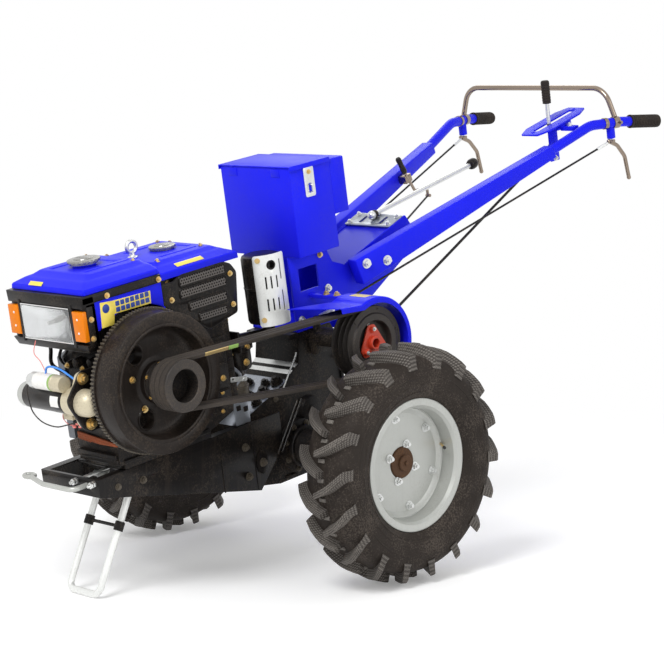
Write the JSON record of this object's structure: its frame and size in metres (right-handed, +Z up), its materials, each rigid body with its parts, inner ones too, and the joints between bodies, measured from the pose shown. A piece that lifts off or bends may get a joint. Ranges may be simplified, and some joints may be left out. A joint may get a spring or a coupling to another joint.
{
  "type": "walking tractor",
  "caption": "Two-wheel walk-behind diesel tractor with lugged tyres, belt-driven clutch, long steering handles with an arch bar, toolbox and folding front stand.",
  "frame": {"origin": "centre of the parked tractor's overall box on the ground", "axes": "+X to the tractor's left, the belt side; -Y forward; +Z up"},
  "size_m": [1.088, 2.034, 1.2798],
  "materials": {
    "blue_paint": "gloss royal blue paint",
    "black_paint": "satin black paint",
    "cast_iron": "machined and painted grey iron",
    "tyre_rubber": "matte black rubber",
    "grip_rubber": "ribbed black rubber",
    "belt_rubber": "fabric-faced rubber",
    "silver_paint": "silver wheel paint",
    "zinc": "zinc-plated steel",
    "chrome": "bright plated bar",
    "lamp_glass": "clear fluted lens",
    "amber": "amber lens plastic",
    "red_paint": "red paint",
    "cream_cast": "passivated casting",
    "rust": "bare iron with light rust"
  },
  "bodies": {
    "chassis": {"air_cleaner": "black_paint", "arch_bar": "chrome", "belt_cover": "blue_paint", "cylinder_head": "cast_iron", "drive_belt_1": "belt_rubber", "drive_belt_2": "belt_rubber", "drive_belt_3": "belt_rubber", "engine_block": "black_paint", "engine_hood": "blue_paint", "front_frame": "black_paint", "fuel_cap": "zinc", "fuel_tank": "blue_paint", "gate_plate": "zinc", "gearbox": "black_paint", "grille_left": "black_paint", "grille_right": "black_paint", "grip_left": "grip_rubber", "grip_right": "grip_rubber", "handle_left": "blue_paint", "handle_neck": "blue_paint", "handle_right": "blue_paint", "headlight": "lamp_glass", "headlight_housing": "black_paint", "heat_shield": "zinc", "lifting_eye": "zinc", "main_lever": "grip_rubber", "muffler": "black_paint", "quadrant": "blue_paint", "radiator_cap": "zinc", "shift_lever": "zinc", "side_lever": "chrome", "side_panel_left": "blue_paint", "side_panel_right": "blue_paint", "starter_motor": "cream_cast", "starter_solenoid": "zinc", "steering_lever_left": "chrome", "steering_lever_right": "chrome", "timing_cover": "cast_iron", "toolbox": "blue_paint", "tow_hook": "zinc", "turn_lamp_left": "amber", "turn_lamp_right": "amber"},
    "wheel_left": {"tyre_left": "tyre_rubber", "rim_left": "silver_paint", "wheel_hub_left": "rust"},
    "wheel_right": {"tyre_right": "tyre_rubber", "rim_right": "silver_paint", "wheel_hub_right": "rust"},
    "crank": {"flywheel": "black_paint", "drive_pulley": "cast_iron"},
    "clutch": {"clutch_pulley": "cast_iron", "clutch_plate": "red_paint"},
    "stand": {"front_stand": "zinc"},
    "lid": {"toolbox_lid": "blue_paint"}
  },
  "joints": [
    {"name": "left_wheel_roll", "type": "hinge", "parent": "chassis", "child": "wheel_left", "pos_m": [0.464, -0.23212, 0.31], "axis": [1, 0, 0], "continuous": true},
    {"name": "right_wheel_roll", "type": "hinge", "parent": "chassis", "child": "wheel_right", "pos_m": [-0.464, -0.23212, 0.31], "axis": [1, 0, 0], "continuous": true},
    {"name": "crankshaft_turn", "type": "hinge", "parent": "chassis", "child": "crank", "pos_m": [0.235, -0.81564, 0.55296], "axis": [1, 0, 0], "continuous": true},
    {"name": "clutch_turn", "type": "hinge", "parent": "chassis", "child": "clutch", "pos_m": [0.304, -0.15816, 0.59795], "axis": [1, 0, 0], "continuous": true},
    {"name": "stand_swing", "type": "hinge", "parent": "chassis", "child": "stand", "pos_m": [0, -0.78551, 0.28528], "axis": [1, 0, 0], "range_deg": [0, 112]},
    {"name": "toolbox_lid_swing", "type": "hinge", "parent": "chassis", "child": "lid", "pos_m": [0, -0.31186, 1.05498], "axis": [1, 0, 0], "range_deg": [0, 110]}
  ],
  "couplings": [
    {"joint": "clutch_turn", "follows": "crankshaft_turn", "ratio": 0.65}
  ]
}
